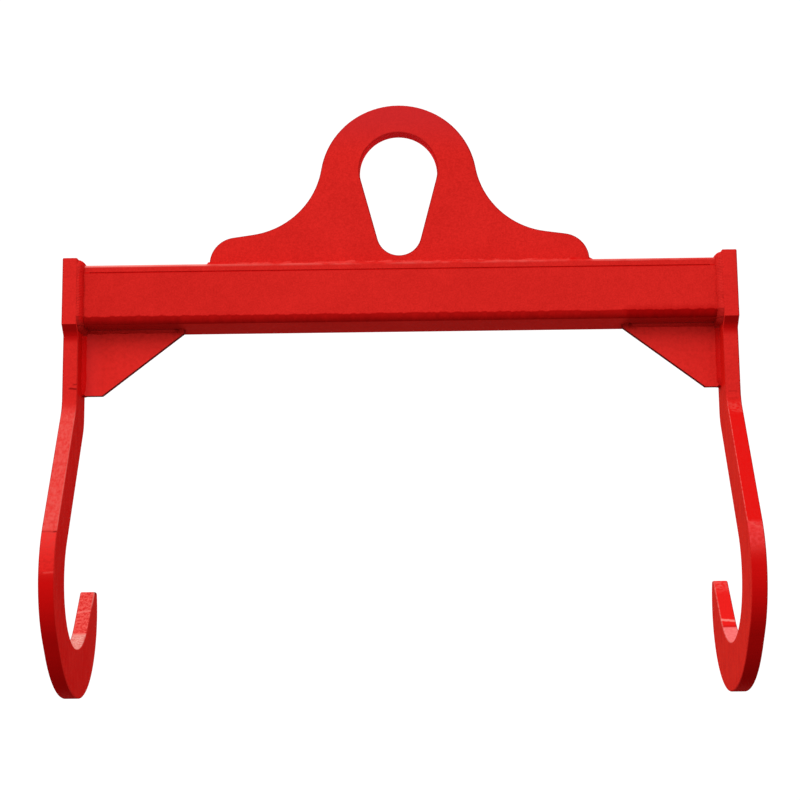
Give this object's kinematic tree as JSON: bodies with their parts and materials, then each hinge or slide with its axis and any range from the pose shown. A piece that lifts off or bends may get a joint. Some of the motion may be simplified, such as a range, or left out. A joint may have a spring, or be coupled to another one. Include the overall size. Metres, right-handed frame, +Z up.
{
  "type": "roll lifting beam",
  "caption": "Welded lifting beam for rolls: square box beam with a plate lug and teardrop eye on top, gussets below and a plate hook at each end that takes the roll's shaft.",
  "frame": {"origin": "centre of the round top of the lug's eye, on the middle plane of the beam", "axes": "+X along the beam, +Z up, +Y towards the side on which the hooks open"},
  "size_m": [1.1, 0.3429, 0.979],
  "materials": {
    "red_paint": "semi-gloss sprayed enamel on hot-rolled steel plate",
    "weld_paint": "semi-gloss sprayed enamel over weld beads"
  },
  "bodies": {
    "root": {"beam_channel": "red_paint", "beam_top_plate": "red_paint", "lifting_lug": "red_paint", "left_hook_plate": "red_paint", "left_gusset": "red_paint", "right_hook_plate": "red_paint", "right_gusset": "red_paint", "seam_weld_front": "weld_paint", "seam_weld_rear": "weld_paint", "lug_weld_front": "weld_paint", "lug_weld_rear": "weld_paint", "lug_weld_left_end": "weld_paint", "lug_weld_right_end": "weld_paint", "left_end_weld_top": "weld_paint", "left_end_weld_front": "weld_paint", "left_end_weld_rear": "weld_paint", "left_end_weld_bottom": "weld_paint", "left_gusset_beam_weld_front": "weld_paint", "left_gusset_hook_weld_front": "weld_paint", "left_gusset_beam_weld_rear": "weld_paint", "left_gusset_hook_weld_rear": "weld_paint", "right_end_weld_top": "weld_paint", "right_end_weld_front": "weld_paint", "right_end_weld_rear": "weld_paint", "right_end_weld_bottom": "weld_paint", "right_gusset_beam_weld_front": "weld_paint", "right_gusset_hook_weld_front": "weld_paint", "right_gusset_beam_weld_rear": "weld_paint", "right_gusset_hook_weld_rear": "weld_paint"}
  },
  "joints": []
}
